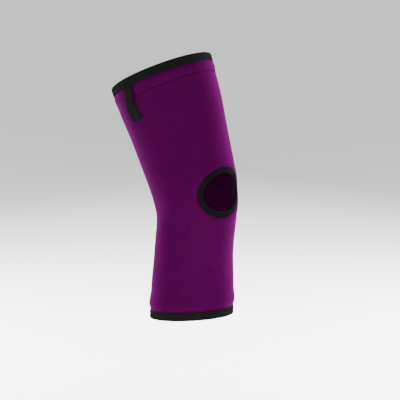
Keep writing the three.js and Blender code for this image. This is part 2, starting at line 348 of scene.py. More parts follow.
# Rows follow both edges and the hem line, and columns are finer at the hem line's ends and the back seam
TRIM = 0.0005
COARSE, FINE, BESIDE_HEM = 0.0023, 0.0003, 0.0004
COARSE_TURN, FINE_TURN = 2.0, 0.35
EDGE_FOLLOWED = 0.05
columns = graded(-180, 180, COARSE_TURN, FINE_TURN, (-180, -HEM_END, HEM_END, 180))[:-1]
upper = graded(TRIM, THIGH_LENGTH, COARSE, FINE, (EDGE_TAPE_HEM + BESIDE_HEM, HEM_DROP))
lower = graded(TRIM, SHIN_LENGTH, COARSE, FINE, (EDGE_TAPE_HEM + BESIDE_HEM,))
upper_share = 1 - ease(EDGE_FOLLOWED, THIGH_LENGTH, upper)[:, None]
lower_share = 1 - ease(EDGE_FOLLOWED, SHIN_LENGTH, lower)[:, None]
upper_rows = THIGH_LENGTH + (top_edge(columns) - THIGH_LENGTH) * upper_share - upper[:, None]
lower_rows = -SHIN_LENGTH + (bottom_edge(columns) + SHIN_LENGTH) * lower_share + lower[:, None]
row_lengths = np.concatenate([lower_rows, upper_rows[-2::-1]])
row_count, column_count = row_lengths.shape
grid_angle = np.broadcast_to(columns, row_lengths.shape)

# A patch of the grid round the kneecap hole gives way to rings that follow the hole's edge and then ease
# into the patch's border
PATCH_ANGLE, PATCH_REACH = 64.0, 0.038
RINGS_REACH, RINGS_BEYOND = 0.016, 6
first_column, last_column = np.searchsorted(columns, (-PATCH_ANGLE, PATCH_ANGLE))
middle_rows = row_lengths[:, column_count // 2]
first_row, last_row = np.searchsorted(middle_rows, (HOLE_LIFT - PATCH_REACH, HOLE_LIFT + PATCH_REACH))
border = [(first_row, j) for j in range(first_column, last_column)]
border += [(i, last_column) for i in range(first_row, last_row)]
border += [(last_row, j) for j in range(last_column, first_column, -1)]
border += [(i, first_column) for i in range(last_row, first_row, -1)]
border_rows, border_columns = np.array(border).T
border_angle = grid_angle[border_rows, border_columns]
border_length = row_lengths[border_rows, border_columns]
border_turn = hole_turn(border_angle, border_length)[0]
rings = []
for away in graded(TRIM, RINGS_REACH, COARSE, FINE, (HOLE_TAPE_HEM + BESIDE_HEM,)):
    rings.append(hole_way(border_turn, away))
last_angle, last_length = rings[-1]
for share in np.linspace(0, 1, RINGS_BEYOND + 2)[1:-1]:
    rings.append((last_angle + (border_angle - last_angle) * share,
                  last_length + (border_length - last_length) * share))

cloth_angle = np.concatenate([grid_angle.ravel()] + [ring[0] for ring in rings])
cloth_length = np.concatenate([row_lengths.ravel()] + [ring[1] for ring in rings])
grid_size, ring_size = row_count * column_count, len(border)
ring_at = [grid_size + k * ring_size for k in range(len(rings))]
border_ids = border_rows * column_count + border_columns
outer_faces = []
corner_angles = []
for i in range(row_count - 1):
    for j in range(column_count):
        if first_row <= i < last_row and first_column <= j < last_column:
            continue
        beside = (j + 1) % column_count
        outer_faces.append((i * column_count + j, i * column_count + beside,
                            (i + 1) * column_count + beside, (i + 1) * column_count + j))
        turned = columns[j + 1] if beside else 180.0
        corner_angles += [columns[j], turned, turned, columns[j]]
for k in range(len(rings)):
    for b in range(ring_size):
        beside = (b + 1) % ring_size
        if k == len(rings) - 1:
            outside = (border_ids[b], border_ids[beside])
        else:
            outside = (ring_at[k + 1] + b, ring_at[k + 1] + beside)
        quad = (ring_at[k] + b, outside[0], outside[1], ring_at[k] + beside)
        outer_faces.append(tuple(int(q) for q in quad))
        corner_angles += [cloth_angle[q] for q in quad]

# Both faces of the cloth, and its cut edges at the top, at the bottom and in the hole. The sewing moves
# the inner face less, because that face is backed when the sleeve is worn.
INNER_SHARE = 0.6
from_hole = hole_distance(cloth_angle, cloth_length)
sewn = sewn_off(cloth_angle, cloth_length, from_hole)
loose = slack(cloth_angle, cloth_length)
outer_points = off_face(cloth_angle, cloth_length, sewn + loose)
inner_points = off_face(cloth_angle, cloth_length, -WALL - INNER_SHARE * sewn + loose)
point_count = len(cloth_angle)
inner_faces = [tuple(q + point_count for q in reversed(quad)) for quad in outer_faces]
edge_faces = []
for j in range(column_count):
    beside = (j + 1) % column_count
    edge_faces.append((beside, j, j + point_count, beside + point_count))
    high, high_beside = (row_count - 1) * column_count + j, (row_count - 1) * column_count + beside
    edge_faces.append((high, high_beside, high_beside + point_count, high + point_count))
for b in range(ring_size):
    here, beside = ring_at[0] + b, ring_at[0] + (b + 1) % ring_size
    edge_faces.append((here, beside, beside + point_count, here + point_count))


def mesh_object(name, points, faces):
    """A smooth mesh as an object of its own."""
    mesh = bpy.data.meshes.new(name)
    mesh.from_pydata(np.asarray(points).reshape(-1, 3).tolist(), [], faces)
    mesh.polygons.foreach_set("use_smooth", [True] * len(mesh.polygons))
    made = bpy.data.objects.new(name, mesh)
    bpy.context.collection.objects.link(made)
    return made


def set_uv(thing, corners):
    layer = thing.data.uv_layers.new(name="lie")
    layer.data.foreach_set("uv", np.asarray(corners, float).ravel())


def set_mask(thing, name, values):
    layer = thing.data.attributes.new(name, "FLOAT", "POINT")
    layer.data.foreach_set("value", np.asarray(values, float).ravel())


def clean_up(thing):
    """Deletes points that no face uses, and turns the faces of a closed mesh outwards."""
    bpy.context.view_layer.objects.active = thing
    thing.select_set(True)
    bpy.ops.object.mode_set(mode="EDIT")
    bpy.ops.mesh.select_all(action="SELECT")
    bpy.ops.mesh.delete_loose(use_verts=True, use_edges=True, use_faces=False)
    bpy.ops.mesh.select_all(action="SELECT")
    bpy.ops.mesh.normals_make_consistent(inside=False)
    bpy.ops.object.mode_set(mode="OBJECT")
    thing.select_set(False)


# The cloth's pattern lies in metres: round the tube, and up along it
GIRTH_PER_DEGREE = KNEE_WIDTH * math.pi / 360
sleeve = mesh_object("sleeve_cloth", np.concatenate([outer_points, inner_points]),
                     outer_faces + inner_faces + edge_faces)
flat_outer = np.stack([np.array(corner_angles) * GIRTH_PER_DEGREE,
                       cloth_length[np.array(outer_faces).ravel()]], axis=-1).reshape(-1, 4, 2)
edge_ids = np.array(edge_faces).ravel() % point_count
flat_edge = np.stack([cloth_angle[edge_ids] * GIRTH_PER_DEGREE, cloth_length[edge_ids]], axis=-1)
set_uv(sleeve, np.concatenate([flat_outer.reshape(-1, 2), flat_outer[:, ::-1].reshape(-1, 2), flat_edge]))
# Painted shade mask: it darkens the cloth's colour along the hem line, the back seam and beside the tapes
groove_shade = np.maximum(hem_groove(cloth_angle, cloth_length), bell(seam_distance(cloth_angle), SEAM_REACH))
groove_shade = np.maximum(groove_shade, crease_shade(cloth_angle, cloth_length, from_hole))
set_mask(sleeve, "groove", np.concatenate([groove_shade] * 2))
clean_up(sleeve)


def set_inputs(tree, node, inputs):
    """Sets a node's inputs to values, or links them from sockets."""
    for key, value in inputs.items():
        if isinstance(value, bpy.types.NodeSocket):
            tree.links.new(value, node.inputs[key])
        else:
            node.inputs[key].default_value = value


def add_node(tree, kind, inputs=(), **settings):
    made = tree.nodes.new(kind)
    for name, value in settings.items():
        setattr(made, name, value)
    set_inputs(tree, made, dict(inputs))
    return made


def work_out(tree, operation, *values):
    return add_node(tree, "ShaderNodeMath", enumerate(values), operation=operation).outputs[0]


def new_group(name, inputs, output):
    """An empty shader group with one float output, and with float or vector inputs."""
    group = bpy.data.node_groups.new(name, "ShaderNodeTree")
    for label, kind, value in inputs:
        socket = group.interface.new_socket(label, in_out="INPUT", socket_type=kind)
        if value is not None:
            socket.default_value = value
    group.interface.new_socket(output, in_out="OUTPUT", socket_type="NodeSocketFloat")
    return group, group.nodes.new("NodeGroupInput"), group.nodes.new("NodeGroupOutput")


# Knit: rows of small V shapes, a wale wide and a course high. Height is 1 on the crown of the yarn.
YARN_SLANT = 0.7
knit, knit_in, knit_out = new_group(
    "knit", [("Vector", "NodeSocketVector", None), ("Wale", "NodeSocketFloat", 0.0007),
             ("Course", "NodeSocketFloat", 0.0006)], "Height")
knit_place = add_node(knit, "ShaderNodeSeparateXYZ", {"Vector": knit_in.outputs["Vector"]})
wale = work_out(knit, "FRACT", work_out(knit, "DIVIDE", knit_place.outputs["X"], knit_in.outputs["Wale"]))
from_middle = work_out(knit, "ABSOLUTE", work_out(knit, "SUBTRACT", wale, 0.5))
from_middle = work_out(knit, "MULTIPLY", from_middle, 2.0)
course = work_out(knit, "DIVIDE", knit_place.outputs["Y"], knit_in.outputs["Course"])
slanted = work_out(knit, "MULTIPLY_ADD", from_middle, YARN_SLANT, course)
yarn = work_out(knit, "SINE", work_out(knit, "MULTIPLY", work_out(knit, "FRACT", slanted), math.pi))
arm = work_out(knit, "SINE", work_out(knit, "MULTIPLY", from_middle, math.pi))
knit.links.new(work_out(knit, "MULTIPLY", yarn, arm), knit_out.inputs["Height"])

# Mottle: cloudy change of tone, about 0.5 in the middle
mottle, mottle_in, mottle_out = new_group(
    "mottle", [("Vector", "NodeSocketVector", None), ("Scale", "NodeSocketFloat", 60.0)], "Factor")
cloud = add_node(mottle, "ShaderNodeTexNoise", {
    "Vector": mottle_in.outputs["Vector"], "Scale": mottle_in.outputs["Scale"],
    "Detail": 5.0, "Roughness": 0.62})
spread = add_node(mottle, "ShaderNodeMapRange", {
    "Value": cloud.outputs["Fac"], "From Min": 0.3, "From Max": 0.7})
mottle.links.new(spread.outputs["Result"], mottle_out.inputs["Factor"])


def new_material(name):
    """A material with its node tree and its shader."""
    made = bpy.data.materials.new(name)
    made.use_nodes = True
    tree = made.node_tree
    return made, tree, tree.nodes["Principled BSDF"]


def lie_vector(tree):
    return add_node(tree, "ShaderNodeUVMap", uv_map="lie").outputs["UV"]


def object_vector(tree):
    return add_node(tree, "ShaderNodeTexCoord").outputs["Object"]


def add_effect(tree, group, **inputs):
    """The value that a shader group puts out."""
    return add_node(tree, "ShaderNodeGroup", inputs, node_tree=group).outputs[0]


def attribute(tree, name):
    return add_node(tree, "ShaderNodeAttribute", attribute_name=name).outputs["Fac"]


def blend_colours(tree, factor, dark, light):
    """A colour between two, each a socket or its red, green and blue. A Mix node takes them at 6 and 7."""
    dark, light = (end if isinstance(end, bpy.types.NodeSocket) else (*end, 1) for end in (dark, light))
    return add_node(tree, "ShaderNodeMix", {0: factor, 6: dark, 7: light}, data_type="RGBA").outputs[2]


def map_to(tree, value, low, high):
    inputs = {"Value": value, "To Min": low, "To Max": high}
    return add_node(tree, "ShaderNodeMapRange", inputs).outputs["Result"]


def bump(tree, height, strength, distance, **under):
    inputs = {"Height": height, "Strength": strength, "Distance": distance, **under}
    return add_node(tree, "ShaderNodeBump", inputs).outputs["Normal"]


# Jersey: its tone comes from the knit's loops, from the rows, which differ in streaks that run round the
# tube, from fine pebbles and a little from clouds. Painted shade darkens it along the sewn hem and seam
# lines and in the creases beside the tapes.
WALE, COURSE = 0.0007, 0.0006
CLOUD_SCALE, PEBBLE_SCALE = 55.0, 420.0
ROW_RUN, ROW_PITCH = 35.0, 520.0
CLOUD_SHARE, PEBBLE_SHARE, ROW_SHARE, LOOP_SHARE = 0.08, 0.2, 0.24, 0.5
JERSEY_DEEP, JERSEY_FULL = (0.0242, 0.0, 0.0190), (0.0522, 0.0, 0.0410)
# Colour and share of the painted shade in the sewn lines and beside the tapes
JERSEY_GROOVE_SHADE, GROOVE_SHADE_SHARE = (0.004, 0.0, 0.0034), 0.8


def jersey(name, shade):
    """Purple jersey, brighter by its shade."""
    made, tree, shader = new_material(name)
    lie, here = lie_vector(tree), object_vector(tree)
    loops = add_effect(tree, knit, Vector=lie, Wale=WALE, Course=COURSE)
    clouds = add_effect(tree, mottle, Vector=here, Scale=CLOUD_SCALE)
    pebbles = add_effect(tree, mottle, Vector=here, Scale=PEBBLE_SCALE)
    drawn = add_node(tree, "ShaderNodeMapping", {"Vector": lie, "Scale": (ROW_RUN, ROW_PITCH, 1)})
    rows = add_effect(tree, mottle, Vector=drawn.outputs["Vector"], Scale=1.0)
    tone = work_out(tree, "MULTIPLY", pebbles, PEBBLE_SHARE)
    for effect, share in ((clouds, CLOUD_SHARE), (rows, ROW_SHARE), (loops, LOOP_SHARE)):
        tone = work_out(tree, "MULTIPLY_ADD", effect, share, tone)
    deep, full = ([shade * c for c in end] for end in (JERSEY_DEEP, JERSEY_FULL))
    # Painted shade from the mask darkens the colour towards a near-black purple
    in_groove_shade = work_out(tree, "MULTIPLY", attribute(tree, "groove"), GROOVE_SHADE_SHARE)
    skin = bump(tree, pebbles, strength=0.35, distance=0.00025)
    set_inputs(tree, shader, {
        "Base Color": blend_colours(tree, in_groove_shade, blend_colours(tree, tone, deep, full), JERSEY_GROOVE_SHADE),
        "Roughness": map_to(tree, pebbles, low=0.72, high=0.9),
        "Specular IOR Level": 0.0,
        "Sheen Weight": 0.1,
        "Sheen Roughness": 0.25,
        "Sheen Tint": (1.0, 0.25, 0.9, 1),
        "Normal": bump(tree, loops, strength=0.6, distance=0.00012, Normal=skin),
    })
    return made


sleeve.data.materials.append(jersey("purple_jersey", shade=1.0))
# The lining is the outer jersey painted a tenth lighter: painted light on the shaded inside of the tube
sleeve.data.materials.append(jersey("purple_lining", shade=1.1))
face_count = len(outer_faces)
inside = [0] * face_count + [1] * face_count + [1] * len(edge_faces)
sleeve.data.polygons.foreach_set("material_index", inside)
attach(sleeve, "root")
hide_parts("sleeve_body")


# Edge tapes: black stretch tape folded over the cut edges of the cloth and sewn through along its middle,
# which presses it into the foam. The hole's tape is a little narrower, and is the same tape painted
# darker as painted shade.
EDGE_TAPE_WIDTH = 0.0115
TAPE = 0.00085
PROUD = 0.0003
NOSE = 0.0007
CUT_ROUND, CUT_LOW, CUT_HIGH, CUT_WORN = 0.0001, 0.45, 0.15, 0.8
DOME, DOME_FULLNESS = 0.00022, 0.7
STITCH_PITCH = 0.0030
STITCH_SHARE = 0.45
STITCH_DENT, DENT_REACH = 0.00035, 0.0009
DENT_EVEN, DENT_AT_NEEDLE = 0.8, 0.2
COLUMNS_PER_STITCH = 4
UNEVEN_QUICK, UNEVEN_SLOW = 0.00006, 0.00005
QUICK_TURN, SLOW_TURN = 0.37, 0.113
FLAT_POINTS, NOSE_POINTS, INSIDE_POINTS = 15, 9, 7
MARK_STEPS = 3000


def other_side(rows):
    """Rows of the tape's section on the inner side of the cloth."""
    return [(inwards, -WALL - off, -dent, worn) for inwards, off, dent, worn in rows]


def tape_nose(radius, worn, turns):
    """Rows round the cloth's cut edge."""
    return [(NOSE - radius * math.sin(turn), -WALL / 2 + radius * math.cos(turn), 0, worn * math.sin(turn))
            for turn in np.radians(turns)]


def tape_section(hem):
    """Steps in from the edge, offs from the outer face, dents by the stitching and wear, round the tape."""
    radius = WALL / 2 + PROUD
    seam = STITCH_SHARE * hem
    flat = np.linspace(hem - 3 * CUT_ROUND, NOSE, FLAT_POINTS)
    dome = DOME * np.abs(np.sin(math.pi * (flat - seam) / (hem - NOSE) * 2)) ** DOME_FULLNESS
    dent = STITCH_DENT * bell(flat - seam, DENT_REACH)
    outer = [(hem, PROUD - CUT_LOW * TAPE, 0, CUT_WORN), (hem - CUT_ROUND, PROUD - CUT_HIGH * TAPE, 0, 1.0)]
    outer += [(inwards, PROUD + rise, sunk, 0.0) for inwards, rise, sunk in zip(flat, dome, dent)]
    backing = [(hem - 2 * CUT_ROUND, PROUD - TAPE, 0, 0), (seam, PROUD - TAPE, 0, 0)]
    rows = outer + tape_nose(radius, 1, np.linspace(0, 180, NOSE_POINTS + 2)[1:-1]) + other_side(outer[::-1])
    rows += other_side(backing) + tape_nose(radius - TAPE, 0, np.linspace(180, 0, INSIDE_POINTS))
    rows += backing[::-1]
    return np.array(rows).T


def even_marks(line, count):
    """Places from 0 to 1 round a closed line, with even distances between them, and the line's length."""
    fine = np.linspace(0, 1, MARK_STEPS + 1)
    run = np.concatenate([[0], np.cumsum(np.linalg.norm(np.diff(line(fine), axis=0), axis=1))])
    return np.interp(np.linspace(0, run[-1], count, endpoint=False), run, fine), run[-1]


def tape(name, hem, place, lift, phase):
    """A folded tape, the ends of its stitches, their pitch and how far in from the edge they are.

    place(share, inwards, off) puts a point, and lift(share) raises the outer side.
    """
    inwards, off, dent, worn = tape_section(hem)
    seam = STITCH_SHARE * hem

    def needle_line(share):
        return place(share, seam, 0.0)

    length = even_marks(needle_line, 1)[1]
    stitches = round(length / STITCH_PITCH)
    marks = even_marks(needle_line, stitches * COLUMNS_PER_STITCH)[0]
    count, around = len(marks), len(inwards)
    column = np.arange(count)
    at_needle = np.cos(2 * math.pi * column / COLUMNS_PER_STITCH)
    uneven = UNEVEN_QUICK * np.sin(column * QUICK_TURN + phase) + UNEVEN_SLOW * np.sin(column * SLOW_TURN)
    sideways = np.where(off > -WALL / 2, 1.0, -1.0) * (np.abs(off + WALL / 2) > WALL / 2)
    offs = off - dent * (DENT_EVEN + DENT_AT_NEEDLE * at_needle[:, None]) + uneven[:, None] * sideways
    offs = offs + lift(marks)[:, None] * ease(-WALL, 0, off)
    steps = np.hypot(np.diff(inwards, append=inwards[0]), np.diff(off, append=off[0]))
    contour = np.concatenate([[0], np.cumsum(steps)])
    faces, corners = [], []
    for i in range(count):
        here, ahead = i * around, (i + 1) % count * around
        u, v = i * length / count, (i + 1) * length / count
        for j in range(around):
            beside = (j + 1) % around
            faces.append((here + j, ahead + j, ahead + beside, here + beside))
            corners += [(u, contour[j]), (v, contour[j]), (v, contour[j + 1]), (u, contour[j + 1])]
    made = mesh_object(name, place(marks[:, None], inwards[None, :], offs), faces)
    set_uv(made, corners)
    set_mask(made, "worn", np.tile(worn, count))
    clean_up(made)
    return made, marks[::COLUMNS_PER_STITCH], length / stitches, seam


def on_top_edge(share, inwards, off):
    angle = 360 * share - 180
    return off_face(angle, top_edge(angle) - inwards, off + 0 * angle)


def on_bottom_edge(share, inwards, off):
    angle = 360 * share - 180
    return off_face(angle, bottom_edge(angle) + inwards, off + 0 * angle)


def on_hole_edge(share, inwards, off):
    angle, length = hole_way(360 * share, inwards)
    return off_face(angle, length, off + 0 * angle)


# The top tape rises over the ends of the pull loop
LOOP_LIFT = 0.0010


def over_loop(share):
    return LOOP_LIFT * near_loop(360 * share - 180)


def flat_on(share):
    return 0 * share


# Ribbed weave for tapes and straps: ribs run across the band, with finer threads along it
RIB_HEIGHT, THREAD_HEIGHT, THREAD_SWAY = 0.35, 0.15, 0.2
ribs, ribs_in, ribs_out = new_group(
    "ribs", [("Vector", "NodeSocketVector", None), ("Rib", "NodeSocketFloat", 0.0009),
             ("Thread", "NodeSocketFloat", 0.0006)], "Height")
rib_place = add_node(ribs, "ShaderNodeSeparateXYZ", {"Vector": ribs_in.outputs["Vector"]})
rib_turn = work_out(ribs, "DIVIDE", rib_place.outputs["X"], ribs_in.outputs["Rib"])
rib_sine = work_out(ribs, "SINE", work_out(ribs, "MULTIPLY", rib_turn, 2 * math.pi))
thread_turn = work_out(ribs, "DIVIDE", rib_place.outputs["Y"], ribs_in.outputs["Thread"])
thread_turn = work_out(ribs, "MULTIPLY_ADD", rib_sine, THREAD_SWAY, thread_turn)
thread_sine = work_out(ribs, "SINE", work_out(ribs, "MULTIPLY", thread_turn, 2 * math.pi))
rib_wave = work_out(ribs, "MULTIPLY_ADD", rib_sine, RIB_HEIGHT, 0.5)
rib_wave = work_out(ribs, "MULTIPLY_ADD", thread_sine, THREAD_HEIGHT, rib_wave)
ribs.links.new(rib_wave, ribs_out.inputs["Height"])

BAND_CLOUD_SCALE, FUZZ_SCALE = 160.0, 2200.0
BAND_RIBS, BAND_CLOUDS, BAND_WEAR = 0.5, 0.3, 0.5


def band(name, dark, light, rib, thread, depth):
    """Ribbed black band, lighter on the crowns of the ribs and where it is worn."""
    made, tree, shader = new_material(name)
    lie, here = lie_vector(tree), object_vector(tree)
    height = add_effect(tree, ribs, Vector=lie, Rib=rib, Thread=thread)
    clouds = add_effect(tree, mottle, Vector=here, Scale=BAND_CLOUD_SCALE)
    fuzz = add_effect(tree, mottle, Vector=here, Scale=FUZZ_SCALE)
    tone = work_out(tree, "MULTIPLY_ADD", height, BAND_RIBS, work_out(tree, "MULTIPLY", clouds, BAND_CLOUDS))
    worn = work_out(tree, "MULTIPLY", attribute(tree, "worn"), fuzz)
    tone = work_out(tree, "MULTIPLY_ADD", worn, BAND_WEAR, tone)
    hairs = bump(tree, fuzz, strength=0.3, distance=0.00008)
    set_inputs(tree, shader, {
        "Base Color": blend_colours(tree, tone, dark, light),
        "Roughness": map_to(tree, clouds, low=0.75, high=0.95),
        "Specular IOR Level": 0.0,
        "Normal": bump(tree, height, strength=0.9, distance=depth, Normal=hairs),
    })
    return made


TAPE_WEAVE = {"rib": 0.0009, "thread": 0.0006, "depth": 0.00012}
edge_black = band("black_tape", (0.0030, 0.0029, 0.0029), (0.0115, 0.0110, 0.0108), **TAPE_WEAVE)
# The hole's tape: the same black tape painted darker, as painted shade on the ring round the hole
shaded_hole_black = band("shaded_black_tape", (0.0022, 0.0021, 0.0021), (0.0086, 0.0080, 0.0080), **TAPE_WEAVE)
tape_pieces = []
needle_lines = []
for name, hem, place, lift, node, black in (
    ("top_tape", EDGE_TAPE_HEM, on_top_edge, over_loop, "top_binding", edge_black),
    ("bottom_tape", EDGE_TAPE_HEM, on_bottom_edge, flat_on, "bottom_binding", edge_black),
    ("kneecap_tape", HOLE_TAPE_HEM, on_hole_edge, flat_on, "kneecap_binding", shaded_hole_black),
):
    made, marks, pitch, seam = tape(name, hem, place, lift, len(tape_pieces))
    made.data.materials.append(black)
    tape_pieces.append(made)
    needle_lines.append((name, marks, pitch, seam, place, lift))
    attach(made, "root")
    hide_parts(node)


# Stitches: a row of twisted thread through each tape and the cloth, seen on both faces. Each stitch is a
# short grain that dives into the tape at its two ends.
THREAD = 0.00042
THREAD_RAISED = 0.00012
STITCH_FILL = 0.86
SHARE_STEP, OUT_STEP = 0.0005, 0.001
SIDES = (("outer", 1), ("inner", -1))
bpy.ops.mesh.primitive_uv_sphere_add(segments=8, ring_count=6, radius=0.5)
grain = bpy.context.object
bpy.ops.object.mode_set(mode="EDIT")
bpy.ops.mesh.select_all(action="SELECT")
bpy.ops.transform.rotate(value=math.pi / 2, orient_axis="Y", center_override=(0, 0, 0))
bpy.ops.object.mode_set(mode="OBJECT")
grain_points = np.array([v.co for v in grain.data.vertices])
grain_faces = [tuple(p.vertices) for p in grain.data.polygons]
bpy.data.objects.remove(grain)


def row_of_stitches(name, line, length, thick, material):
    """One piece of many stitches. line(ahead, above) is a place by each, along it or off the cloth."""
    centres = line(0, 0)
    along = unit(line(1, 0) - line(-1, 0))
    out = line(0, OUT_STEP) - centres
    out = unit(out - dot(out, along)[:, None] * along)
    beside = np.cross(out, along)
    size = np.array((length, thick, thick))
    grain_x, grain_y, grain_z = (grain_points * size).T[:, None, :, None]
    points = centres[:, None] + grain_x * along[:, None] + grain_y * beside[:, None] + grain_z * out[:, None]
    count = len(grain_points)
    faces = [tuple(i * count + q for q in quad) for i in range(len(centres)) for quad in grain_faces]
    made = mesh_object(name, points, faces)
    lie = np.tile(grain_points[:, :2] * size[:2], (len(centres), 1))
    set_uv(made, lie[np.concatenate(faces)])
    made.data.materials.append(material)
    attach(made, "root")
    return made


TWIST_SLANT, TWIST_SCALE = math.radians(40), 900.0


def thread(name, dark, light):
    """Matt sewing thread, twisted."""
    made, tree, shader = new_material(name)
    lie = lie_vector(tree)
    turned = add_node(tree, "ShaderNodeMapping", {"Vector": lie, "Rotation": (0, 0, TWIST_SLANT)})
    twist = add_node(tree, "ShaderNodeTexWave", {"Vector": turned.outputs["Vector"], "Scale": TWIST_SCALE})
    set_inputs(tree, shader, {
        "Base Color": blend_colours(tree, twist.outputs["Fac"], dark, light),
        "Roughness": 0.85,
        "Specular IOR Level": 0.0,
        "Normal": bump(tree, twist.outputs["Fac"], strength=0.7, distance=0.00006),
    })
    return made


black_thread = thread("black_thread", (0.006, 0.006, 0.006), (0.024, 0.0236, 0.0232))
for name, marks, pitch, seam, place, lift in needle_lines:
    stitch_ends = np.append(marks, 1 + marks[0])
    middles = (stitch_ends[:-1] + stitch_ends[1:]) / 2
    for side, sign in SIDES:
        raised = (PROUD if sign > 0 else -WALL - PROUD) - sign * (STITCH_DENT - THREAD_RAISED)
        raised = raised + (lift(middles) if sign > 0 else 0 * middles)

        def along_tape(ahead, above):
            return place(middles + SHARE_STEP * ahead, seam, raised + sign * above)

        row_of_stitches(f"{name}_{side}_stitches", along_tape, pitch * STITCH_FILL,
                                             THREAD, black_thread)


# Hem line stitches: purple thread in a groove 25 mm below the top edge, from beside the pull loop round
# the front to the other side, turned up to the tape at both ends.
HEM_PITCH, HEM_FILL = 0.0026, 0.84
HEM_THREAD = 0.00045
THREAD_LIFT = 0.0001
HEM_STOP = 0.0010
HEM_STEP = 0.0004
FAR_FROM_HOLE = 0.1
purple_thread = thread("purple_thread", (0.016, 0.0, 0.013), (0.050, 0.0003, 0.040))
hem_turn_up = HEM_DROP - EDGE_TAPE_HEM - HEM_STOP
half_front = HEM_END * TOP_WIDTH * math.pi / 360
hem_total = 2 * (half_front + hem_turn_up)


def hem_line(run):
    """Angle and drop below the top edge, at a run along the hem line from its outer end."""
    drop = HEM_DROP - np.maximum(hem_turn_up - run, 0) - np.maximum(run - (hem_total - hem_turn_up), 0)
    angle = np.clip((run - hem_turn_up) / half_front - 1, -1, 1) * HEM_END
    return angle, drop


def cloth_off(angle, length, sign):
    """How far the cloth's outer face, where sign is 1, or inner face stands off the plain form."""
    sewn_here = sewn_off(angle, length, FAR_FROM_HOLE)
    pressed = sewn_here if sign > 0 else -WALL - INNER_SHARE * sewn_here
    return pressed + slack(angle, length)


hem_runs = np.arange(HEM_PITCH / 2, hem_total, HEM_PITCH)
for side, sign in SIDES:
    def along_hem(ahead, above):
        angle, drop = hem_line(hem_runs + HEM_STEP * ahead)
        length = top_edge(angle) - drop
        return off_face(angle, length, cloth_off(angle, length, sign) + sign * (THREAD_LIFT + above))

    row_of_stitches(f"hem_line_{side}_stitches", along_hem, HEM_PITCH * HEM_FILL,
                                         HEM_THREAD, purple_thread)


# Back seam: the tube's two cut edges butted together and joined by a flat zigzag of purple thread on both
# faces, between the hems of the top and bottom tapes. The zigzag bridges the seam's groove.
ZIGZAG_STEP = 0.0016
ZIGZAG_WIDTH = 0.0040
BESIDE_SEAM = 4.0
seam_run = np.arange(bottom_edge(SEAM_ANGLE) + EDGE_TAPE_HEM,
                     top_edge(SEAM_ANGLE) - EDGE_TAPE_HEM, ZIGZAG_STEP)
half_turn = ZIGZAG_WIDTH / 2 / np.linalg.norm(directions(SEAM_ANGLE, seam_run)[0], axis=-1)
zigzag = np.where(np.arange(len(seam_run)) % 2 == 0, 1, -1)
for side, sign in SIDES:
    off = cloth_off(SEAM_ANGLE + BESIDE_SEAM, seam_run, sign) + sign * THREAD_LIFT

    def across_seam(ahead, above):
        angle = SEAM_ANGLE + ahead * half_turn * zigzag
        return off_face(angle, seam_run + ahead * ZIGZAG_STEP / 2, off + sign * above)

    row_of_stitches(f"back_seam_{side}_stitches", across_seam,
                                         math.hypot(ZIGZAG_WIDTH, ZIGZAG_STEP), THREAD, purple_thread)


# Pull loop: one black woven strap, folded, with both ends sewn in under the top tape on the outer side.
# Its two runs stand a little off the cloth, so that a finger can get under them. They sway to the back,
# the rear edge lifts towards the foot, and the inner run has slid a little to the front there.
LOOP_LENGTH = 0.0567
LOOP_STRAP = 0.0011
LOOP_FOLD = 0.0013
LOOP_BOW = 0.0012
LOOP_OPENING = 0.0012
LOOP_REST = 0.0006
LOOP_ENDS = 0.0008
LOOP_SQUEEZE = 0.0005
LOOP_CUP = 0.0003
THIN_SHARE, THIN_REACH = 0.8, (0.006, 0.010)
UNDER_TAPE, OUT_OF_TAPE = EDGE_TAPE_HEM - 0.002, EDGE_TAPE_HEM + 0.0045
LOOP_SWAY, SWAY_REACH = 0.0026, (0.0105, 0.024)
LOOP_RETURN, RETURN_REACH = 0.0017, (0.042, 0.058)
LOOP_SLID, SLID_REACH = 0.0016, (0.030, 0.058)
LOOP_TILT, TILT_REACH = 0.0016, (0.026, 0.044)
LOOP_STEPS, FOLD_POINTS, SIDE_POINTS, ACROSS_POINTS = 44, 9, 5, 11
EDGE_ROUND = 0.00045
EDGE_WEAR = 6
loop_bottom = LOOP_LENGTH - LOOP_FOLD - LOOP_STRAP / 2


def loop_run(share, first, start, last, bow):
    """Drop and off of one run: pressed under the tape, then free and bowed away from the cloth."""
    down = LOOP_ENDS + (loop_bottom - LOOP_ENDS) * share
    free = np.clip((down - EDGE_TAPE_WIDTH) / (loop_bottom - EDGE_TAPE_WIDTH), 0, 1)
    off = first + (start - first) * ease(UNDER_TAPE, OUT_OF_TAPE, down) + (last - start) * free
    return down, off + bow * np.sin(math.pi * free) ** 2


shares = np.linspace(0, 1, LOOP_STEPS)
loop_inner = LOOP_REST + LOOP_STRAP / 2
going = loop_run(shares, PROUD - TAPE + LOOP_LIFT - LOOP_SQUEEZE, loop_inner + LOOP_STRAP,
                 loop_inner + 2 * LOOP_FOLD, LOOP_BOW + LOOP_OPENING)
coming = loop_run(shares[::-1], -PRESS - LOOP_PRESS + LOOP_SQUEEZE, loop_inner, loop_inner, LOOP_BOW)
fold_turn = np.radians(np.linspace(0, 180, FOLD_POINTS + 2)[1:-1])
fold = loop_bottom + LOOP_FOLD * np.sin(fold_turn), loop_inner + LOOP_FOLD * (1 + np.cos(fold_turn))
loop_down, loop_off = (np.concatenate(parts) for parts in zip(going, fold, coming))
thick = (THIN_SHARE + (1 - THIN_SHARE) * ease(*THIN_REACH, loop_down)) * LOOP_STRAP / 2
inner_share = np.concatenate([np.zeros(LOOP_STEPS), np.linspace(0, 1, FOLD_POINTS), np.ones(LOOP_STEPS)])
drift = LOOP_RETURN * ease(*RETURN_REACH, loop_down) - LOOP_SWAY * ease(*SWAY_REACH, loop_down)
drift = drift + LOOP_SLID * inner_share * ease(*SLID_REACH, loop_down)
tilt = LOOP_TILT * ease(*TILT_REACH, loop_down)

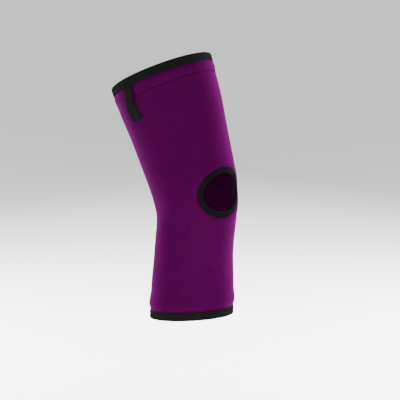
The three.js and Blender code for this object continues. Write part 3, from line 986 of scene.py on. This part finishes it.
# The strap's section, with rounded sides, goes round at each step and squarely to the run
half_width = LOOP_WIDTH / 2
side_turn = np.radians(np.linspace(-90, 90, SIDE_POINTS))
side_across = half_width - EDGE_ROUND + EDGE_ROUND * np.cos(side_turn)
side_up = np.sin(side_turn)
flat_across = np.linspace(half_width - EDGE_ROUND, -half_width + EDGE_ROUND, ACROSS_POINTS + 2)[1:-1]
flat_up = np.ones(len(flat_across))
strap_across = np.concatenate([side_across, flat_across, -side_across[::-1], -flat_across])
strap_up = np.concatenate([side_up, flat_up, side_up[::-1], -flat_up])
strap_degrees = 1 / np.linalg.norm(directions(LOOP_ANGLE, THIGH_LENGTH)[0])
step_down, step_off = np.gradient(loop_down), np.gradient(loop_off)
step = np.hypot(step_down, step_off)
raised = thick[:, None] * strap_up
loop_points = off_face(
    LOOP_ANGLE + (strap_across + drift[:, None]) * strap_degrees,
    top_edge(LOOP_ANGLE) - (loop_down[:, None] - raised * (step_off / step)[:, None]),
    loop_off[:, None] + raised * (step_down / step)[:, None] - LOOP_CUP * (strap_across / half_width) ** 2
    + tilt[:, None] * (1 - strap_across / half_width),
)
loop_count, loop_around = len(loop_down), len(strap_across)
loop_faces, loop_corners = [], []
run = np.concatenate([[0], np.cumsum(np.hypot(np.diff(loop_down), np.diff(loop_off)))])
for i in range(loop_count - 1):
    here, ahead = i * loop_around, (i + 1) * loop_around
    for j in range(loop_around):
        beside = (j + 1) % loop_around
        loop_faces.append((here + j, ahead + j, ahead + beside, here + beside))
        loop_corners += [(run[i], strap_across[j]), (run[i + 1], strap_across[j]),
                         (run[i + 1], strap_across[beside]), (run[i], strap_across[beside])]
for end in (0, (loop_count - 1) * loop_around):
    loop_faces.append(tuple(range(end, end + loop_around)))
    loop_corners += [(0, across) for across in strap_across]
pull_loop = mesh_object("pull_loop_strap", loop_points, loop_faces)
set_uv(pull_loop, loop_corners)
set_mask(pull_loop, "worn", np.tile(np.abs(strap_across / half_width) ** EDGE_WEAR, loop_count))
clean_up(pull_loop)
pull_loop.data.materials.append(band("black_strap", (0.0028, 0.0029, 0.0027), (0.0142, 0.0143, 0.0130),
                                     rib=0.0012, thread=0.0010, depth=0.00020))
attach(pull_loop, "root")
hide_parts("pull_loop")


# Studio: a plain pale floor far below the held sleeve, a soft light in front and two behind the sides,
# and a long lens at the photograph's angle.
CAMERA_AZIMUTH, CAMERA_ELEVATION, CAMERA_DISTANCE = -46.0, 9.6, 3.5
METRES_PER_PIXEL = 0.00131
FRAME_PIXELS = 400
ORIGIN_PIXEL = (194.9, 192.3)
SENSOR_WIDTH = 36.0
FLOOR_HEIGHT = -0.47
ROOM_LIGHT, ROOM_SEEN = 1.0, 1.9


def around_origin(azimuth, elevation):
    a, e = math.radians(azimuth), math.radians(elevation)
    return np.array([math.sin(a) * math.cos(e), -math.cos(a) * math.cos(e), math.sin(e)])


back = around_origin(CAMERA_AZIMUTH, CAMERA_ELEVATION)
right = np.array([math.cos(math.radians(CAMERA_AZIMUTH)), math.sin(math.radians(CAMERA_AZIMUTH)), 0])
upward = np.cross(back, right)
aim = (FRAME_PIXELS / 2 - ORIGIN_PIXEL[0]) * METRES_PER_PIXEL * right
aim = aim - (FRAME_PIXELS / 2 - ORIGIN_PIXEL[1]) * METRES_PER_PIXEL * upward
camera_data = bpy.data.cameras.new("camera")
camera_data.sensor_width = SENSOR_WIDTH
camera_data.lens = SENSOR_WIDTH * CAMERA_DISTANCE / (METRES_PER_PIXEL * FRAME_PIXELS)
camera = bpy.data.objects.new("camera", camera_data)
camera.location = aim + back * CAMERA_DISTANCE
camera.rotation_euler = (math.radians(90 - CAMERA_ELEVATION), 0, math.radians(CAMERA_AZIMUTH))
bpy.context.collection.objects.link(camera)
bpy.context.scene.camera = camera

bpy.ops.mesh.primitive_circle_add(vertices=64, radius=30, fill_type="NGON", location=(0, 0, FLOOR_HEIGHT))
floor = bpy.context.object
floor.name = "floor"
bpy.ops.object.transform_apply(location=True)
floor_material, floor_tree, floor_shader = new_material("floor")
set_inputs(floor_tree, floor_shader, {"Base Color": (0.9, 0.9, 0.9, 1), "Roughness": 0.9})
floor.data.materials.append(floor_material)

for name, azimuth, elevation, distance, size, power in (
    ("front_soft", 4, 16, 2.4, 1.4, 52),
    ("left_rim", -134, 14, 2.0, 0.9, 200),
    ("right_rim", 131, 14, 2.0, 0.9, 255),
):
    light_data = bpy.data.lights.new(name, "AREA")
    light_data.shape = "SQUARE"
    light_data.size = size
    light_data.energy = power
    light = bpy.data.objects.new(name, light_data)
    light.location = around_origin(CAMERA_AZIMUTH + azimuth, elevation) * distance
    light.rotation_euler = (math.radians(90 - elevation), 0, math.radians(CAMERA_AZIMUTH + azimuth))
    bpy.context.collection.objects.link(light)

# The room looks brighter than the light that it gives, as a studio with lit walls does
world = bpy.data.worlds.new("studio")
world.use_nodes = True
world_tree = world.node_tree
seen = add_node(world_tree, "ShaderNodeLightPath").outputs["Is Camera Ray"]
set_inputs(world_tree, world_tree.nodes["Background"], {
    "Color": (0.97, 0.98, 1.0, 1), "Strength": map_to(world_tree, seen, ROOM_LIGHT, ROOM_SEEN)})
bpy.context.scene.world = world
